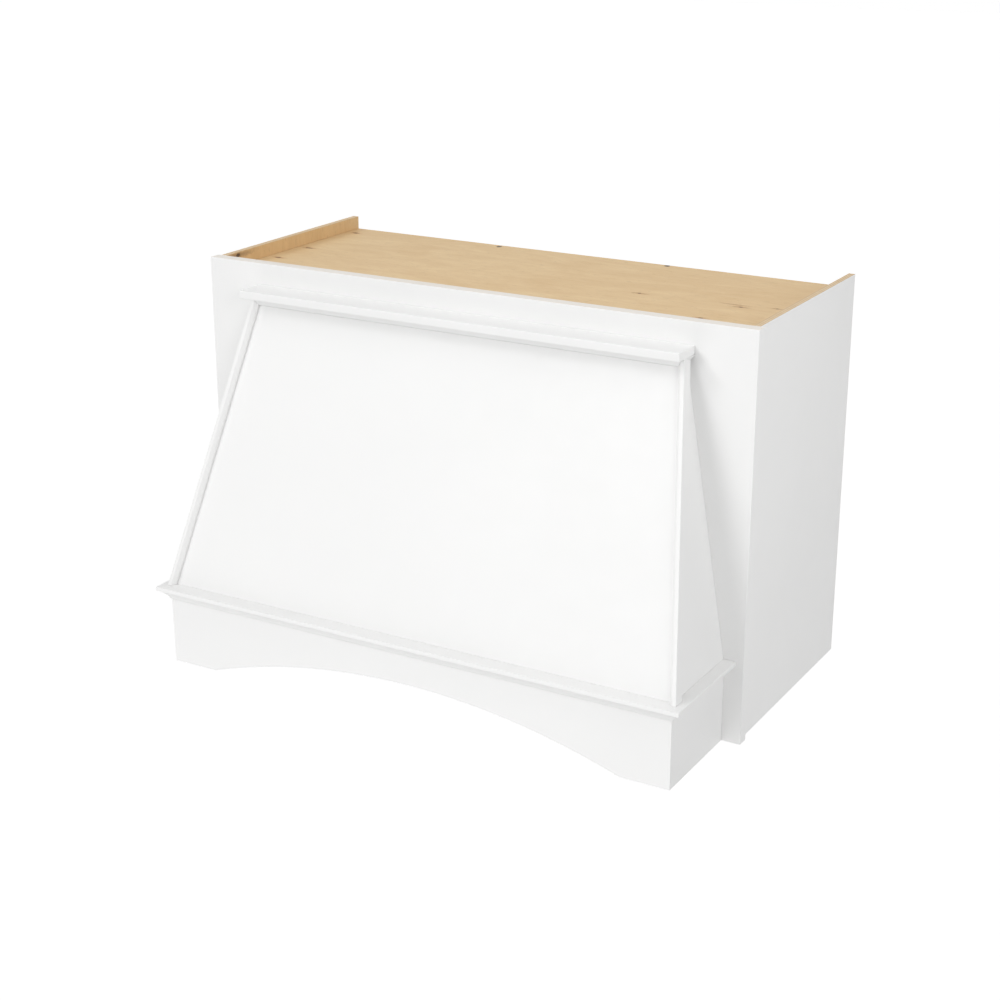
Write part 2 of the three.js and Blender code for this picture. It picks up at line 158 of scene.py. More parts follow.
class HoodWoodSettings(bpy.types.PropertyGroup):
    """The bare veneer, plywood and softwood."""

    veneer_colour: FloatVectorProperty(
        name="Veneer",
        description="Light colour of the bare veneer",
        subtype="COLOR",
        size=3,
        min=0,
        max=1,
        default=linear(231, 203, 158),
    )
    veneer_figure: FloatVectorProperty(
        name="Veneer figure",
        description="Darker colour of the veneer's figure",
        subtype="COLOR",
        size=3,
        min=0,
        max=1,
        default=linear(216, 182, 134),
    )
    # The inner faces' two colours are the veneer's wood made a little darker and warmer: painted shade
    # and bounce light, since these faces are lit less
    inside_shaded_colour: FloatVectorProperty(
        name="Inside face",
        description="Light colour of the side panels' bare inner faces",
        subtype="COLOR",
        size=3,
        min=0,
        max=1,
        default=linear(231, 197, 147),
    )
    inside_shaded_figure: FloatVectorProperty(
        name="Inside figure",
        description="Darker figure of the bare inner faces",
        subtype="COLOR",
        size=3,
        min=0,
        max=1,
        default=linear(216, 180, 129),
    )
    softwood_colour: FloatVectorProperty(
        name="Softwood",
        description="Light colour of the sawn rails, strips and blocks",
        subtype="COLOR",
        size=3,
        min=0,
        max=1,
        default=linear(222, 192, 148),
    )
    softwood_figure: FloatVectorProperty(
        name="Softwood figure",
        description="Darker growth rings of the sawn wood",
        subtype="COLOR",
        size=3,
        min=0,
        max=1,
        default=linear(186, 142, 92),
    )
    ply_light: FloatVectorProperty(
        name="Ply edge, light layers",
        description="Colour of the plywood edge's light layers",
        subtype="COLOR",
        size=3,
        min=0,
        max=1,
        default=linear(233, 213, 181),
    )
    ply_dark: FloatVectorProperty(
        name="Ply edge, dark layers",
        description="Colour of the plywood edge's dark layers",
        subtype="COLOR",
        size=3,
        min=0,
        max=1,
        default=linear(208, 175, 132),
    )
    ply: FloatProperty(
        name="Ply thickness",
        description="Thickness of one layer of the plywood",
        unit="LENGTH",
        min=0.0005,
        max=0.004,
        default=0.002,
    )


class HoodEdgeSettings(bpy.types.PropertyGroup):
    """How far the boards' outside edges are eased."""

    veneer: FloatProperty(
        name="Top panel edges",
        description="How far the outside edges of the veneered top panel are eased",
        unit="LENGTH",
        min=0.0001,
        max=0.003,
        default=0.0003,
    )
    panel: FloatProperty(
        name="Panel edges",
        description="How far the outside edges of the side panels and the sloping panel are eased",
        unit="LENGTH",
        min=0.0001,
        max=0.003,
        default=0.0004,
    )
    flare: FloatProperty(
        name="Canopy side edges",
        description="How far the outside edges of the canopy's flared sides are eased",
        unit="LENGTH",
        min=0.0001,
        max=0.003,
        default=0.0006,
    )
    strip: FloatProperty(
        name="Frame and trim edges",
        description="How far the outside edges of the face frame and the canopy's trim are eased",
        unit="LENGTH",
        min=0.0001,
        max=0.003,
        default=0.0007,
    )
    moulding: FloatProperty(
        name="Moulding edges",
        description="How far the outside edges of the cove moulding are eased",
        unit="LENGTH",
        min=0.0001,
        max=0.003,
        default=0.0008,
    )
    valance: FloatProperty(
        name="Valance edges",
        description="How far the outside edges of the valance's boards are eased",
        unit="LENGTH",
        min=0.0001,
        max=0.003,
        default=0.001,
    )
    cap: FloatProperty(
        name="Cap edges",
        description="How far the outside edges of the canopy's flat cap are eased",
        unit="LENGTH",
        min=0.0001,
        max=0.003,
        default=0.0014,
    )
    block: FloatProperty(
        name="Strip and block edges",
        description="How far the outside edges of the sawn strips, blocks and ledgers are eased",
        unit="LENGTH",
        min=0.0001,
        max=0.003,
        default=0.0008,
    )
    hanging_rail: FloatProperty(
        name="Hanging rail edges",
        description="How far the outside edges of the hanging rails are eased",
        unit="LENGTH",
        min=0.0001,
        max=0.003,
        default=0.0012,
    )


class HoodFittingSettings(bpy.types.PropertyGroup):
    """The screws that hold the insert's ledgers."""

    zinc_colour: FloatVectorProperty(
        name="Zinc plate",
        description="Colour of the zinc-plated screws",
        subtype="COLOR",
        size=3,
        min=0,
        max=1,
        default=linear(203, 200, 184),
    )
    shank: FloatProperty(
        name="Shank radius",
        description="Radius of each screw's shank",
        unit="LENGTH",
        min=0.001,
        max=0.003,
        default=0.002,
    )
    recess_width: FloatProperty(
        name="Recess width",
        description="Width across the cross recess in each screw's head",
        unit="LENGTH",
        min=0.002,
        max=0.006,
        default=0.0042,
    )
    recess_depth: FloatProperty(
        name="Recess depth",
        description="Depth of the cross recess",
        unit="LENGTH",
        min=0.0005,
        max=0.0025,
        default=0.0018,
    )


class HoodStageSettings(bpy.types.PropertyGroup):
    """Floor, light and camera."""

    floor_drop: FloatProperty(
        name="Floor drop",
        description="How far the floor lies below the cover's lower edge, as under a hung cover",
        unit="LENGTH",
        min=0,
        max=3,
        default=1.676,
    )
    floor_colour: FloatVectorProperty(
        name="Floor colour",
        description="Colour of the plain floor",
        subtype="COLOR",
        size=3,
        min=0,
        max=1,
        default=(0.86, 0.86, 0.86),
    )
    floor_glow: FloatProperty(
        name="Floor glow",
        description="White that the floor adds where the camera or a reflection sees it",
        min=0,
        max=1,
        default=0.44,
    )
    dome: FloatProperty(
        name="Dome light",
        description="Strength of the even light from all round",
        min=0,
        max=2,
        default=0.492,
    )
    key: FloatProperty(
        name="Key light",
        description="Strength of the soft light from the front left",
        min=0,
        max=5,
        default=0.486,
    )
    key_from: FloatVectorProperty(
        name="Key direction",
        description="Direction in which the key light stands, seen from the cover",
        subtype="DIRECTION",
        size=3,
        default=(-0.5, -0.62, 0.6),
    )
    front: FloatProperty(
        name="Front light",
        description="Strength of the low soft light from the front",
        min=0,
        max=5,
        default=0.42,
    )
    front_from: FloatVectorProperty(
        name="Front direction",
        description="Direction in which the front light stands, seen from the cover",
        subtype="DIRECTION",
        size=3,
        default=(-0.3, -0.9, 0.3),
    )
    fill: FloatProperty(
        name="Fill light",
        description="Strength of the soft light from the right",
        min=0,
        max=5,
        default=0.29,
    )
    fill_from: FloatVectorProperty(
        name="Fill direction",
        description="Direction in which the fill light stands, seen from the cover",
        subtype="DIRECTION",
        size=3,
        default=(0.75, -0.6, 0.3),
    )
    spread: FloatProperty(
        name="Light spread",
        description="Apparent width of the three lights, which softens their shadows",
        subtype="ANGLE",
        min=0,
        max=math.pi,
        default=math.radians(16),
    )
    softbox: FloatProperty(
        name="Softbox",
        description="Power of the near soft lamp beside the right front corner",
        subtype="POWER",
        min=0,
        max=500,
        default=2.5,
    )
    softbox_at: FloatVectorProperty(
        name="Softbox place",
        description="Where the soft lamp stands",
        subtype="XYZ",
        unit="LENGTH",
        size=3,
        default=(1.3, -0.6, 0.2),
    )
    softbox_size: FloatProperty(
        name="Softbox size",
        description="Length of each side of the soft lamp",
        unit="LENGTH",
        min=0.1,
        max=5,
        default=0.9,
    )
    low_box: FloatProperty(
        name="Low softbox",
        description="Power of the soft lamp below the front, which lightens the undersides",
        subtype="POWER",
        min=0,
        max=500,
        default=8.2,
    )
    low_box_at: FloatVectorProperty(
        name="Low softbox place",
        description="Where the low lamp stands",
        subtype="XYZ",
        unit="LENGTH",
        size=3,
        default=(-0.5, -2.2, -1.5),
    )
    low_box_size: FloatProperty(
        name="Low softbox size",
        description="Length of each side of the low lamp",
        unit="LENGTH",
        min=0.1,
        max=5,
        default=1.6,
    )
    high_box: FloatProperty(
        name="High softbox",
        description="Power of the soft lamp above the front, which lightens the tops",
        subtype="POWER",
        min=0,
        max=500,
        default=6.5,
    )
    high_box_at: FloatVectorProperty(
        name="High softbox place",
        description="Where the high lamp stands",
        subtype="XYZ",
        unit="LENGTH",
        size=3,
        default=(0, -0.9, 1.5),
    )
    high_box_size: FloatProperty(
        name="High softbox size",
        description="Length of each side of the high lamp",
        unit="LENGTH",
        min=0.1,
        max=5,
        default=1.4,
    )
    azimuth: FloatProperty(
        name="Camera azimuth",
        description="Angle of the camera to the right of straight ahead",
        subtype="ANGLE",
        default=math.radians(30),
    )
    elevation: FloatProperty(
        name="Camera elevation",
        description="Angle of the camera above level",
        subtype="ANGLE",
        default=math.radians(19.57),
    )
    distance: FloatProperty(
        name="Camera distance",
        description="From the camera to the point that it aims at",
        unit="LENGTH",
        min=1,
        default=2.725,
    )
    aim: FloatVectorProperty(
        name="Camera aim",
        description="The point that the camera looks at",
        subtype="XYZ",
        unit="LENGTH",
        size=3,
        default=(0.0795, -0.4155, -0.2199),
    )
    lens: FloatProperty(
        name="Lens",
        description="Focal length on a 36 mm wide sensor",
        min=20,
        max=200,
        default=67.46,
    )


SETTINGS = {
    "hood_paint": HoodPaintSettings,
    "hood_wood": HoodWoodSettings,
    "hood_edges": HoodEdgeSettings,
    "hood_fittings": HoodFittingSettings,
    "hood_stage": HoodStageSettings,
}


# Node helpers


def place(tree, kind, inputs=None, **settings):
    """A new node with its settings, whose inputs are values or other nodes' sockets."""
    made = tree.nodes.new(kind)
    for key, value in settings.items():
        setattr(made, key, value)
    for key, value in (inputs or {}).items():
        if isinstance(value, bpy.types.NodeSocket):
            tree.links.new(value, made.inputs[key])
        else:
            made.inputs[key].default_value = value
    return made


def maths(tree, operation, first, second=0.0, third=0.0):
    """The result of an operation on up to three values."""
    return place(tree, "ShaderNodeMath", {0: first, 1: second, 2: third}, operation=operation).outputs[0]


def noise(tree, vector, scale, detail=2.0, roughness=0.5, distortion=0.0):
    """Soft noise round 0.5, with scale as its number of cells in one unit of the vector."""
    inputs = {
        "Vector": vector,
        "Scale": scale,
        "Detail": detail,
        "Roughness": roughness,
        "Distortion": distortion,
    }
    return place(tree, "ShaderNodeTexNoise", inputs).outputs["Fac"]


def stretched(tree, vector, scale, location=(0, 0, 0), rotation=(0, 0, 0)):
    """A vector scaled on each axis, turned and moved."""
    inputs = {"Vector": vector, "Location": location, "Rotation": rotation, "Scale": scale}
    return place(tree, "ShaderNodeMapping", inputs).outputs["Vector"]


def mapped(tree, value, low, high, to_low, to_high, smooth=False):
    """A value taken from one range to another, and held inside the second."""
    inputs = {0: value, 1: low, 2: high, 3: to_low, 4: to_high}
    kind = "SMOOTHSTEP" if smooth else "LINEAR"
    return place(tree, "ShaderNodeMapRange", inputs, interpolation_type=kind).outputs[0]


def mixed(tree, factor, first, second):
    """Two colours mixed, where a factor of 1 gives the second."""
    return place(tree, "ShaderNodeMix", {0: factor, 6: first, 7: second}, data_type="RGBA").outputs[2]


def stained(tree, colour, mask, stain, strength):
    """A colour with a stain over it: at a strength of 1 only the stain shows where the mask is 1."""
    return mixed(tree, maths(tree, "MULTIPLY", mask, strength), colour, stain)


def shaded(tree, colour, shade):
    """A colour scaled by a shade."""
    made = place(tree, "ShaderNodeVectorMath", {0: colour, "Scale": shade}, operation="SCALE")
    return made.outputs[0]


def new_group(name, inputs, outputs):
    """An empty node group with named sockets, and its group input and output nodes."""
    tree = bpy.data.node_groups.new(name, "ShaderNodeTree")
    for label, kind, default in inputs:
        socket = tree.interface.new_socket(label, in_out="INPUT", socket_type=kind)
        if default is not None:
            socket.default_value = default
    for label, kind in outputs:
        tree.interface.new_socket(label, in_out="OUTPUT", socket_type=kind)
    return tree, place(tree, "NodeGroupInput").outputs, place(tree, "NodeGroupOutput").inputs


FLOAT = "NodeSocketFloat"
COLOUR = "NodeSocketColor"
VECTOR = "NodeSocketVector"
FINISH = (("Colour", COLOUR), ("Roughness", FLOAT), ("Height", FLOAT))


def paint_film_group():
    """Satin paint: faint orange peel, grain that shows through along x, slow drift of tone."""
    tree, given, out = new_group(
        "Paint film",
        [("Vector", VECTOR, None), ("Colour", COLOUR, (0.9, 0.9, 0.9, 1)), ("Roughness", FLOAT, 0.42)],
        FINISH,
    )
    vector = given["Vector"]
    drift = noise(tree, vector, 4.5, detail=2.0)
    shade = mapped(tree, drift, 0.3, 0.7, 0.985, 1.0)
    tree.links.new(shaded(tree, given["Colour"], shade), out["Colour"])
    gloss = mapped(tree, noise(tree, vector, 38.0, detail=2.0), 0.3, 0.7, -0.05, 0.05)
    tree.links.new(maths(tree, "ADD", given["Roughness"], gloss), out["Roughness"])
    peel = noise(tree, vector, 850.0, detail=1.0)
    fibres = noise(tree, stretched(tree, vector, (14, 620, 620)), 1.0, detail=3.0, roughness=0.6)
    height = maths(tree, "MULTIPLY_ADD", fibres, 0.3, maths(tree, "MULTIPLY", peel, 0.4))
    tree.links.new(height, out["Height"])
    return tree


# Short flecks in the grain, and the glue between the layers of plywood
DEEP_BROWN = (0.2, 0.11, 0.05, 1)


def long_grain_group():
    """Bare wood with its grain along x: soft clouds, growth bands, fine fibres and short flecks."""
    tree, given, out = new_group(
        "Long grain",
        [
            ("Vector", VECTOR, None),
            ("Light", COLOUR, (0.7, 0.5, 0.3, 1)),
            ("Dark", COLOUR, (0.5, 0.3, 0.15, 1)),
            ("Band Width", FLOAT, 0.03),
            ("Bands", FLOAT, 0.5),
            ("Clouds", FLOAT, 0.5),
            ("Flecks", FLOAT, 0.3),
        ],
        FINISH,
    )
    vector = given["Vector"]

    # Growth bands along the grain, which wander and fade in patches
    drift = stretched(tree, vector, (1.3, 7, 7))
    slow = noise(tree, drift, 1.0, detail=3.0, roughness=0.55, distortion=0.6)
    parts = place(tree, "ShaderNodeSeparateXYZ", {0: stretched(tree, vector, (0.1, 1, 1))}).outputs
    across = maths(tree, "ADD", parts["Y"], parts["Z"])
    wander = maths(tree, "MULTIPLY_ADD", slow, 0.3, across)
    turns = maths(tree, "MULTIPLY", maths(tree, "DIVIDE", wander, given["Band Width"]), math.tau)
    wave = mapped(tree, maths(tree, "SINE", turns), -1.0, 1.0, 0.0, 1.0)
    clearings = noise(tree, stretched(tree, vector, (2.5, 11, 11), (3, 5, 7)), 1.0, detail=2.0)
    patches = mapped(tree, clearings, 0.35, 0.65, 0.15, 1.0)
    bands = maths(tree, "MULTIPLY", maths(tree, "POWER", wave, 2.5), patches)

    # Clouds and fibres, added to the bands
    curls = stretched(tree, vector, (11, 46, 46))
    curl = noise(tree, curls, 1.0, detail=5.0, roughness=0.62, distortion=1.1)
    clouds = maths(tree, "MULTIPLY", mapped(tree, curl, 0.32, 0.68, 0.0, 1.0), given["Clouds"])
    fibres = noise(tree, stretched(tree, vector, (24, 820, 820)), 1.0, detail=3.0, roughness=0.65)
    figure = maths(tree, "MULTIPLY_ADD", bands, given["Bands"], clouds)
    figure = maths(tree, "ADD", figure, mapped(tree, fibres, 0.3, 0.7, -0.14, 0.14))
    figure = maths(tree, "MINIMUM", maths(tree, "MAXIMUM", figure, 0.0), 1.0)
    toned = mixed(tree, figure, given["Light"], given["Dark"])

    # Short dark flecks, which are also small pits
    dashes = stretched(tree, vector, (85, 560, 560), (1, 2, 3))
    flecks = noise(tree, dashes, 1.0, detail=2.0, roughness=0.4)
    flecks = mapped(tree, flecks, 0.64, 0.74, 0.0, 1.0, smooth=True)
    flecks = maths(tree, "MULTIPLY", flecks, given["Flecks"])
    tree.links.new(mixed(tree, flecks, toned, DEEP_BROWN), out["Colour"])
    tree.links.new(mapped(tree, fibres, 0.3, 0.7, 0.52, 0.68), out["Roughness"])
    pits = maths(tree, "MULTIPLY", flecks, 0.5)
    tree.links.new(maths(tree, "SUBTRACT", maths(tree, "MULTIPLY", fibres, 0.5), pits), out["Height"])
    return tree


def ply_edge_group():
    """The sawn edge of plywood: layers that alternate between long grain and end grain."""
    tree, given, out = new_group(
        "Ply edge",
        [
            ("Vector", VECTOR, None),
            ("Depth", FLOAT, 0.0),
            ("Layer", FLOAT, 0.002),
            ("Light", COLOUR, (0.7, 0.5, 0.3, 1)),
            ("Dark", COLOUR, (0.5, 0.3, 0.15, 1)),
        ],
        FINISH,
    )
    vector = given["Vector"]

    # The phase runs from 0 in the middle of a light layer to 1 in the middle of a dark one
    sway = mapped(tree, noise(tree, vector, 30.0, detail=2.0), 0.0, 1.0, -0.0003, 0.0003)
    layer = maths(tree, "DIVIDE", maths(tree, "ADD", given["Depth"], sway), given["Layer"])
    phase = maths(tree, "PINGPONG", layer, 1.0)
    dark = mapped(tree, phase, 0.44, 0.56, 0.0, 1.0, smooth=True)
    streak = noise(tree, stretched(tree, vector, (60, 60, 60)), 1.0, detail=3.0)
    tone = maths(tree, "MULTIPLY_ADD", dark, 0.7, mapped(tree, streak, 0.3, 0.7, 0.0, 0.3))
    toned = mixed(tree, tone, given["Light"], given["Dark"])

    # Glue shows as a thin line where two layers meet
    from_line = maths(tree, "ABSOLUTE", maths(tree, "SUBTRACT", phase, 0.5))
    glue = maths(tree, "SUBTRACT", 1.0, mapped(tree, from_line, 0.0, 0.07, 0.0, 1.0, smooth=True))
    tree.links.new(stained(tree, toned, glue, DEEP_BROWN, strength=0.45), out["Colour"])
    grit = noise(tree, vector, 1300.0, detail=2.0)
    tree.links.new(mapped(tree, grit, 0.3, 0.7, 0.6, 0.8), out["Roughness"])
    height = maths(tree, "MULTIPLY_ADD", grit, 0.5, maths(tree, "MULTIPLY", dark, -0.5))
    tree.links.new(height, out["Height"])
    return tree


def pin_knot_group():
    """A small mark in the plane of X and Y: a dark core with a fading streak along X."""
    tree, given, out = new_group(
        "Pin knot",
        [
            ("Vector", VECTOR, None),
            ("Centre", VECTOR, (0, 0, 0)),
            ("Length", FLOAT, 0.003),
            ("Width", FLOAT, 0.0015),
            ("Streak", FLOAT, 0.02),
        ],
        [("Core", FLOAT), ("Streak", FLOAT)],
    )
    inputs = {0: given["Vector"], 1: given["Centre"]}
    away = place(tree, "ShaderNodeVectorMath", inputs, operation="SUBTRACT").outputs[0]
    parts = place(tree, "ShaderNodeSeparateXYZ", {0: away}).outputs
    wobble = mapped(tree, noise(tree, given["Vector"], 260.0, detail=2.0), 0.3, 0.7, 0.75, 1.25)

    def reach(length, width):
        """Distance from the centre of an ellipse with a wobbly edge, near 1 on that edge."""
        scaled = {
            "X": maths(tree, "DIVIDE", parts["X"], length),
            "Y": maths(tree, "DIVIDE", parts["Y"], width),
        }
        flat = place(tree, "ShaderNodeCombineXYZ", scaled).outputs[0]
        distance = place(tree, "ShaderNodeVectorMath", {0: flat}, operation="LENGTH").outputs["Value"]
        return maths(tree, "MULTIPLY", distance, wobble)

    core = reach(given["Length"], given["Width"])
    tree.links.new(mapped(tree, core, 0.6, 1.05, 1.0, 0.0, smooth=True), out["Core"])
    streak = reach(given["Streak"], maths(tree, "MULTIPLY", given["Width"], 1.5))
    tree.links.new(mapped(tree, streak, 0.2, 1.2, 1.0, 0.0, smooth=True), out["Streak"])
    return tree


GROUP_BUILDERS = {
    "Paint film": paint_film_group,
    "Long grain": long_grain_group,
    "Ply edge": ply_edge_group,
    "Pin knot": pin_knot_group,
}


def grouped(tree, name, inputs):
    """The outputs of a node group, which is built the first time it is asked for."""
    group = bpy.data.node_groups.get(name) or GROUP_BUILDERS[name]()
    return place(tree, "ShaderNodeGroup", inputs, node_tree=group).outputs


# Materials


def empty_material(name):
    """A material with only a Principled surface and its output, and the object's coordinates."""
    material = bpy.data.materials.new(name)
    material.use_nodes = True
    tree = material.node_tree
    tree.nodes.clear()
    surface = place(tree, "ShaderNodeBsdfPrincipled")
    output = place(tree, "ShaderNodeOutputMaterial")
    tree.links.new(surface.outputs[0], output.inputs["Surface"])
    coordinates = place(tree, "ShaderNodeTexCoord").outputs["Object"]
    return material, tree, surface.inputs, coordinates


def along(tree, coordinates, axis):
    """Coordinates turned so that a grain drawn along x runs along the axis."""
    return stretched(tree, coordinates, (1, 1, 1), rotation=AXIS_TURNS[axis])


def dress(tree, surface, colour, roughness, height, strength, depth):
    """Feeds the surface its colour and roughness, and a height map as a bump of that depth."""
    tree.links.new(colour, surface["Base Color"])
    tree.links.new(roughness, surface["Roughness"])
    bump = place(tree, "ShaderNodeBump", {"Strength": strength, "Distance": depth, "Height": height})
    tree.links.new(bump.outputs["Normal"], surface["Normal"])


def paint_film(tree, vector, duller=0.0):
    """The paint's colour, roughness and height; duller is added to its roughness."""
    paint = bpy.context.scene.hood_paint
    inputs = {"Vector": vector, "Colour": opaque(paint.colour), "Roughness": paint.roughness + duller}
    return grouped(tree, "Paint film", inputs)


def long_grain(tree, vector, light, dark, band_width, bands, clouds, flecks):
    """The colour, roughness and height of bare wood with its grain along x."""
    inputs = {
        "Vector": vector,
        "Light": opaque(light),
        "Dark": opaque(dark),
        "Band Width": band_width,
        "Bands": bands,
        "Clouds": clouds,
        "Flecks": flecks,
    }
    return grouped(tree, "Long grain", inputs)


def once(builder):
    """Builds each material once for each set of arguments."""
    kept = {}

    def fetch(*arguments):
        if arguments not in kept:
            kept[arguments] = builder(*arguments)
        return kept[arguments]

    return fetch


@once
def painted(axis):
    """Satin paint over wood whose grain runs along the axis."""
    material, tree, surface, coordinates = empty_material(f"satin_paint_grain_{axis}")
    film = paint_film(tree, along(tree, coordinates, axis))
    dress(tree, surface, film["Colour"], film["Roughness"], film["Height"], strength=0.07, depth=0.0004)
    return material


@once
def thin_coat(axis):
    """The frame's upper edge, where a thin coat lets the wood's tone through."""
    wood = bpy.context.scene.hood_wood
    material, tree, surface, coordinates = empty_material(f"thin_coat_grain_{axis}")
    vector = along(tree, coordinates, axis)
    film = paint_film(tree, vector, duller=0.1)
    grain = long_grain(
        tree,
        vector,
        wood.veneer_colour,
        wood.veneer_figure,
        band_width=0.02,
        bands=0.4,
        clouds=0.4,
        flecks=0.2,
    )
    cover = noise(tree, stretched(tree, vector, (9, 60, 60)), 1.0, detail=3.0)
    bareness = mapped(tree, cover, 0.3, 0.7, 0.15, 0.27)
    toned = mixed(tree, bareness, film["Colour"], grain["Colour"])
    dress(tree, surface, toned, film["Roughness"], grain["Height"], strength=0.25, depth=0.0003)
    return material


@once
def softwood(axis):
    """Sawn softwood with its grain along the axis."""
    wood = bpy.context.scene.hood_wood
    material, tree, surface, coordinates = empty_material(f"sawn_softwood_grain_{axis}")
    grain = long_grain(
        tree,
        along(tree, coordinates, axis),
        wood.softwood_colour,
        wood.softwood_figure,
        band_width=0.011,
        bands=0.65,
        clouds=0.3,
        flecks=0.1,
    )
    dress(tree, surface, grain["Colour"], grain["Roughness"], grain["Height"], strength=0.4, depth=0.0004)
    return material


@once
def ply_edge(axis):
    """The sawn edge of plywood whose layers lie across the axis."""
    wood = bpy.context.scene.hood_wood
    material, tree, surface, coordinates = empty_material(f"plywood_edge_layers_{axis}")
    inputs = {
        "Vector": coordinates,
        "Depth": place(tree, "ShaderNodeSeparateXYZ", {0: coordinates}).outputs[axis.upper()],
        "Layer": wood.ply,
        "Light": opaque(wood.ply_light),
        "Dark": opaque(wood.ply_dark),
    }
    edge = grouped(tree, "Ply edge", inputs)
    dress(tree, surface, edge["Colour"], edge["Roughness"], edge["Height"], strength=0.35, depth=0.0003)
    return material


# Marks in the bare wood; the long streak of the mark inside the left side panel is also painted shade. A
# row gives the centre's two coordinates on the face, the core's half length and half width, and the
# streak's half length.

# Small knots in the top veneer, at x and y
TOP_KNOTS = (
    (-0.422, -0.036, 0.0060, 0.0034, 0.013),
    (-0.420, -0.175, 0.0076, 0.0032, 0.018),
    (-0.420, -0.259, 0.0068, 0.0032, 0.016),
    (0.189, -0.194, 0.0030, 0.0028, 0.017),
    (0.352, -0.199, 0.0034, 0.0030, 0.018),
    (0.340, -0.189, 0.0002, 0.0022, 0.030),
    (0.329, -0.286, 0.0038, 0.0030, 0.015),
    (0.402, -0.183, 0.0022, 0.0020, 0.014),
)
KNOT_STREAK = opaque(linear(158, 100, 56))
KNOT_CORE = opaque(linear(98, 52, 28))

# Black marks at the top panel's back edge, at x and y
BACK_MARKS = (
    (-0.156, -0.010, 0.0046, 0.0064, 0.003),
    (0.145, -0.005, 0.0050, 0.0062, 0.003),
)
BACK_BLACK = opaque(linear(52, 40, 32))

# The dark mark on the left side panel's inner face, just behind the frame, at y and z. Its core is a mark
# in the wood. Its long streak is partly painted shade, darkening the face's front corner where the frame
# shades it.
INSIDE_MARK_AND_SHADE = ((-0.336, 0.0705, 0.0065, 0.0034, 0.048),)
# Colour of the inside streak: a stain in the wood and painted shade near the frame
INSIDE_STREAK_AND_SHADE = opaque(linear(120, 90, 66))
INSIDE_CORE = opaque(linear(70, 46, 30))


def marks(tree, coordinates, table):
    """The cores and the streaks of a table of marks, as two masks."""
    cores, streaks = 0.0, 0.0
    for first, second, length, width, streak in table:
        inputs = {
            "Vector": coordinates,
            "Centre": (first, second, 0),
            "Length": length,
            "Width": width,
            "Streak": streak,
        }
        knot = grouped(tree, "Pin knot", inputs)
        cores = maths(tree, "MAXIMUM", cores, knot["Core"])
        streaks = maths(tree, "MAXIMUM", streaks, knot["Streak"])
    return cores, streaks


@once
def bare_ply(axis, marked_and_shaded=()):
    """The bare inner face of plywood with its grain along the axis, and marks at places in y and z; the
    left side panel's mark has a streak that is partly painted shade.
    """
    wood = bpy.context.scene.hood_wood
    name = "marked_and_shaded" if marked_and_shaded else "grain"
    material, tree, surface, coordinates = empty_material(f"bare_plywood_{name}_{axis}")
    grain = long_grain(
        tree,
        along(tree, coordinates, axis),
        wood.inside_shaded_colour,
        wood.inside_shaded_figure,
        band_width=0.05,
        bands=0.12,
        clouds=0.5,
        flecks=0.25,
    )
    toned = grain["Colour"]
    if marked_and_shaded:
        parts = place(tree, "ShaderNodeSeparateXYZ", {0: coordinates}).outputs
        flat = place(tree, "ShaderNodeCombineXYZ", {"X": parts["Y"], "Y": parts["Z"]}).outputs[0]
        cores, streaks = marks(tree, flat, marked_and_shaded)
        # The long streak darkens the face towards the frame: partly a mark in the wood, partly painted
        # shade
        toned = stained(tree, toned, streaks, INSIDE_STREAK_AND_SHADE, strength=0.5)
        toned = stained(tree, toned, cores, INSIDE_CORE, strength=0.85)
    dress(tree, surface, toned, grain["Roughness"], grain["Height"], strength=0.25, depth=0.0003)
    return material


@once
def top_veneer():
    """Bare light veneer with mottled long grain along x and a few small knots."""
    wood = bpy.context.scene.hood_wood
    material, tree, surface, coordinates = empty_material("bare_maple_veneer")
    grain = long_grain(
        tree,
        coordinates,
        wood.veneer_colour,
        wood.veneer_figure,
        band_width=0.075,
        bands=0.2,
        clouds=0.45,
        flecks=0.3,
    )
    curls = stretched(tree, coordinates, (6.5, 15, 15))
    swirl = noise(tree, curls, 1.0, detail=4.0, roughness=0.6, distortion=1.6)
    blotches = mapped(tree, swirl, 0.38, 0.66, 0.0, 0.55)
    toned = mixed(tree, blotches, grain["Colour"], opaque(wood.veneer_figure))
    cores, streaks = marks(tree, coordinates, TOP_KNOTS)
    toned = stained(tree, toned, streaks, KNOT_STREAK, strength=0.55)
    toned = stained(tree, toned, cores, KNOT_CORE, strength=0.85)
    black, _ = marks(tree, coordinates, BACK_MARKS)
    toned = stained(tree, toned, black, BACK_BLACK, strength=0.92)
    height = maths(tree, "SUBTRACT", grain["Height"], maths(tree, "MULTIPLY", cores, 0.6))
    dress(tree, surface, toned, grain["Roughness"], height, strength=0.2, depth=0.0003)
    return material


@once
def zinc_plate():
    """Zinc-plated steel with clouds that are darker and duller."""
    bright = bpy.context.scene.hood_fittings.zinc_colour
    worn = [channel * ZINC_WORN for channel in bright]
    material, tree, surface, coordinates = empty_material("zinc_plate")
    cloud = mapped(tree, noise(tree, coordinates, 420.0, detail=3.0), 0.3, 0.7, 0.0, 1.0)
    tree.links.new(mixed(tree, cloud, opaque(bright), opaque(worn)), surface["Base Color"])
    tree.links.new(mapped(tree, cloud, 0.0, 1.0, 0.28, 0.42), surface["Roughness"])
    surface["Metallic"].default_value = 1.0
    return material


# Pieces


def merged_copy(node):
    """A bmesh with the node's shape, its doubles merged and its flat faces whole."""
    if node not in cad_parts:
        raise RuntimeError(f"The frame has no node {node}")
    mesh = bmesh.new()
    mesh.from_mesh(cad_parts[node].data)
    bmesh.ops.remove_doubles(mesh, verts=mesh.verts, dist=MERGE_DISTANCE)
    bmesh.ops.dissolve_limit(mesh, angle_limit=FLAT_ANGLE, verts=mesh.verts, edges=mesh.edges)
    mesh.normal_update()
    return mesh


